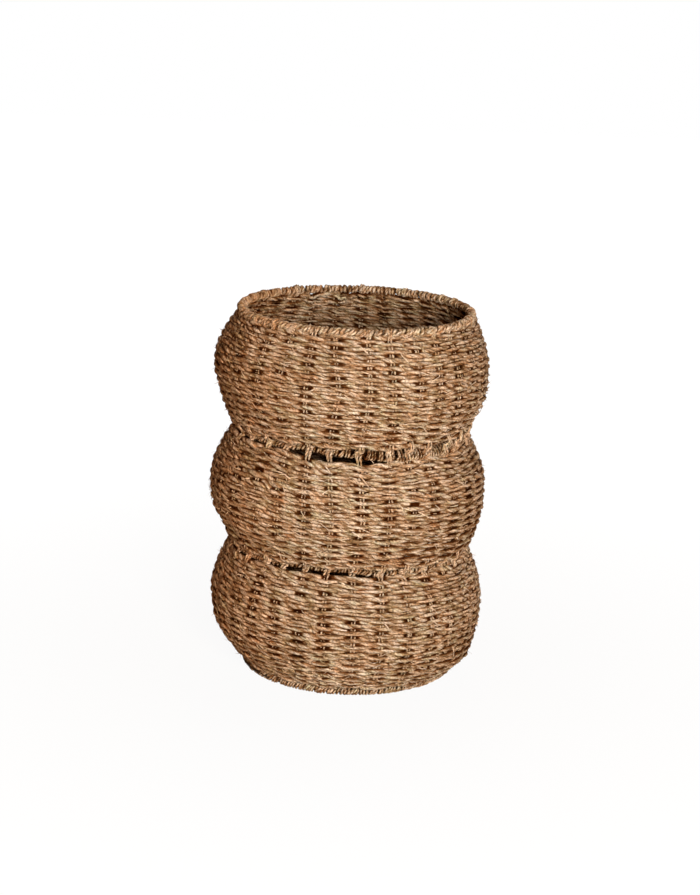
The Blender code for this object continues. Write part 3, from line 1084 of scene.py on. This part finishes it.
def seagrass(name, light=1.0, streak=1.0):
    """Dried leaf, twisted: straw and brown lengths, fine streaks along the strand, dark flecks, and
    painted shade from the shade attribute and on the basket's sides.
    """
    n = Nodes(bpy.data.materials.new(name))
    u, v, _ = n.parts(n.add("ShaderNodeUVMap", uv_map="cord").outputs[0])
    strand = n.add("ShaderNodeAttribute", attribute_name="strand").outputs["Fac"]
    far = n.math("MULTIPLY", strand, STRAND_SHIFT)

    def field(kind):
        per_metre, across, shift, detail, roughness = LEAF_FIELDS[kind]
        along = n.math("MULTIPLY", u, per_metre)
        around = n.math("MULTIPLY", v, across)
        place = n.vector(along, around, n.math("ADD", far, shift))
        return n.noise(place, 1.0, detail, roughness)

    place = n.add("ShaderNodeTexCoord").outputs["Object"]
    patches = n.noise(place, 24.0, 3.0, 0.65)
    tone = field("tone")
    hue = n.math("ADD", n.math("MULTIPLY", field("hue"), 0.45),
                 n.math("MULTIPLY", n.noise(place, 55.0, 3.0, 0.6), 0.55))
    streaks = field("streaks")
    fine = field("fine")
    flecks = field("flecks")
    tone = n.math("ADD", n.math("MULTIPLY", tone, 0.80), 0.105)
    tone = n.math("ADD", tone, n.math("MULTIPLY", n.math("SUBTRACT", patches, 0.5), 0.28))

    base = n.ramp(tone, [(stop, tuple(part * light for part in colour))
                         for stop, colour in LEAF_COLOURS])
    colour = n.times(base, n.ramp(hue, LEAF_TINTS))
    # Painted shade on the left and right sides
    x = n.parts(place)[0]
    left = n.spread(x, *LEFT_SIDE)
    right = n.spread(x, *RIGHT_SIDE)
    colour = n.mix(left, colour, n.times(colour, LEFT_SHADE_TINT))
    colour = n.mix(right, colour, n.times(colour, RIGHT_SHADE_TINT))
    colour = n.times(colour, n.ramp(streaks, [(stop, tuple(1 - drop * streak for drop in drops))
                                              for stop, drops in STREAK_DROPS]))
    small = n.spread(fine, 0.3, 0.7, 0.28, 1.42)
    colour = n.times(colour, n.vector(small, small, small))
    colour = n.mix(n.spread(flecks, 0.26, 0.40, 0.75, 0.0), colour, FLECK_COLOUR)
    # Painted shade and highlight from the shade attribute, which also dims the specular in the
    # grooves
    painted_shade = n.add("ShaderNodeAttribute", attribute_name="shade").outputs["Fac"]
    colour = n.times(colour, n.ramp(painted_shade, PAINTED_SHADE_COLOURS))
    n.finish("Base Color", colour)
    n.finish("Roughness", n.spread(streaks, 0.3, 0.7, 0.74, 0.50))
    n.finish("Specular IOR Level", n.math("MULTIPLY", painted_shade, 0.16))
    height = n.math("ADD", n.math("MULTIPLY", streaks, 0.7), n.math("MULTIPLY", fine, 0.3))
    n.bump(height, 0.0014, 0.9)
    return n.owner


def steel_wire():
    """Plain drawn wire, browned, with faint marks."""
    n = Nodes(bpy.data.materials.new("steel_wire"))
    marks = n.noise(n.add("ShaderNodeTexCoord").outputs["Object"], 900.0, 3.0)
    n.finish("Base Color", n.ramp(marks, WIRE_COLOURS))
    n.finish("Roughness", n.spread(marks, 0.3, 0.7, 0.45, 0.7))
    n.finish("Metallic", 1.0)
    n.bump(marks, 0.0001)
    return n.owner


# ---- studio

WHITE = (1, 1, 1, 1)
AIM = (0, 0, 0.22)
WORLD_COLOUR, WORLD_STRENGTH = (1.0, 0.58, 0.28, 1), 0.10
FLOOR_HALF = 6.0
FLOOR_HEIGHT = -0.0004
FLOOR_COLOUR = (0.45, 0.38, 0.30, 1)
FLOOR_GLOW = 1.04

# Each lamp's place, size, power and colour
LAMPS = {
    "key_light": ((0.66, -2.81, 1.00), 0.8, 164, (1, 1, 1)),
    "fill_light": ((-2.3, -2.0, 0.8), 1.6, 9, (1.0, 0.58, 0.26)),
    "top_light": ((0.4, 0.2, 2.8), 1.6, 1.0, (1, 1, 1)),
    "back_light": ((0.3, 2.7, 1.3), 2.0, 42, (1.0, 0.74, 0.50)),
}

# The camera: its rise over the basket's middle, distance and roll, and its lens in photo pixels
RISE, DISTANCE, ROLL = radians(15.7), 2.55, radians(2.2)
SENSOR = 36
PHOTO_WIDTH = 700
FOCAL_PIXELS = 2124
SHIFT_PIXELS = 38


def world():
    """White to the camera, and a dim warm light from all round on the basket."""
    bpy.context.scene.world = bpy.data.worlds.new("studio")
    n = Nodes(bpy.context.scene.world)
    n.tree.nodes.clear()
    path = n.add("ShaderNodeLightPath")
    soft = n.light("ShaderNodeBackground", WORLD_COLOUR, WORLD_STRENGTH)
    white = n.light("ShaderNodeBackground", WHITE, 1.0)
    out = n.add("ShaderNodeOutputWorld")
    n.mix_light(path.outputs["Is Camera Ray"], soft, white, out.inputs[0])


def floor():
    """Pale paper that the camera sees as white, but for the basket's shadow."""
    mesh = bpy.data.meshes.new("floor")
    corners = [(x * FLOOR_HALF, y * FLOOR_HALF, 0) for x, y in ((-1, -1), (1, -1), (1, 1), (-1, 1))]
    mesh.from_pydata(corners, [], [(0, 1, 2, 3)])
    floor = add_object("floor", mesh)
    floor.location = (0, 0, FLOOR_HEIGHT)
    n = Nodes(bpy.data.materials.new("floor_paper"))
    n.finish("Base Color", FLOOR_COLOUR)
    n.finish("Roughness", 0.9)
    glow = n.light("ShaderNodeEmission", WHITE, FLOOR_GLOW)
    path = n.add("ShaderNodeLightPath")
    place = n.add("ShaderNodeTexCoord").outputs["Object"]
    reach = n.add("ShaderNodeVectorMath", operation="LENGTH")
    n.link(place, reach.inputs[0])
    white = n.spread(reach.outputs["Value"], 0.2, 1.2, 0.90, 1.0)
    share = n.math("MULTIPLY", path.outputs["Is Camera Ray"], white)
    out = n.tree.nodes["Material Output"]
    n.mix_light(share, n.shader.outputs[0], glow, out.inputs[0])
    mesh.materials.append(n.owner)


def lamps():
    """Four soft lamps that look at the basket's middle."""
    for name, (place, size, power, colour) in LAMPS.items():
        data = bpy.data.lights.new(name, "AREA")
        data.size = size
        data.energy = power
        data.color = colour
        lamp = add_object(name, data)
        lamp.location = place
        lamp.rotation_euler = (Vector(AIM) - Vector(place)).to_track_quat("-Z", "Y").to_euler()


def camera():
    """The photo's view: a long lens, a little above the rim, and rolled slightly."""
    data = bpy.data.cameras.new("camera")
    data.sensor_fit = "HORIZONTAL"
    data.sensor_width = SENSOR
    data.lens = SENSOR * FOCAL_PIXELS / PHOTO_WIDTH
    data.shift_y = SHIFT_PIXELS / PHOTO_WIDTH
    eye = Vector((0, -DISTANCE * cos(RISE), AIM[2] + DISTANCE * sin(RISE)))
    look = (Vector(AIM) - eye).to_track_quat("-Z", "Y").to_matrix().to_4x4()
    obj = add_object("camera", data)
    obj.matrix_world = Matrix.Translation(eye) @ look @ Matrix.Rotation(ROLL, 4, "Z")
    bpy.context.scene.camera = obj


# ---- the scene

# The export thins larger pieces, so each tier's cord is cut into shorter ones
MOST_TRIANGLES = 190000
TRIANGLES_A_RING = 2 * PLIES * ROW_SIDES + CORE_SIDES
STAKE_PIECES = 3


def build():
    """Camera, studio and every piece of the basket."""
    camera()
    world()
    floor()
    lamps()
    rows_material = seagrass("seagrass_rows")
    stake_material = seagrass("seagrass_stakes", light=1.25, streak=0.7)
    wrap_material = seagrass("seagrass_windings", light=1.08)
    for number, name in enumerate(TIERS):
        plies, inside = weave_rows(name, 40 + 20 * number)
        rings_each = MOST_TRIANGLES // TRIANGLES_A_RING
        parts = max(1, int(np.ceil((len(plies[0]["rings"]) - 1) / rings_each)))
        cuts = [cut_tube(strand, parts) for strand in (*plies, inside)]
        for part, strands in enumerate(zip(*cuts)):
            make_piece(f"{name}_tier_rows_{part + 1}", list(strands), rows_material,
                       [f"{name}_tier_weave"])
    make_piece("base_rows", base_rows(140), rows_material, ["base_weave"])
    stakes = stake_cords()
    each = 2 * PLIES
    for part in range(STAKE_PIECES):
        chosen = [i for i in range(STAKE_COUNT) if i * STAKE_PIECES // STAKE_COUNT == part]
        tubes = [t for i in chosen for t in stakes[each * i:each * (i + 1)]]
        make_piece(f"stakes_{part + 1}", tubes, stake_material,
                   [f"stake_pair_{i + 1:02d}" for i in chosen])
    for number, name in enumerate(HOOPS):
        cord = winding(name, 200 + 10 * number, *WINDINGS[name])
        make_piece(f"{name}_winding", cord, wrap_material, [f"{name}_wrap"])
    make_piece("loose_fibres", loose_fibres(), stake_material, [])
    make_piece("leaf_ends", leaf_ends(), stake_material, [])
    wire = steel_wire()
    for name in HOOPS:
        frame["nodes"][f"{name}_wire"].data.materials.clear()
        frame["nodes"][f"{name}_wire"].data.materials.append(wire)
    scene = bpy.context.scene
    scene.view_settings.view_transform = "Standard"


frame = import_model()
build()
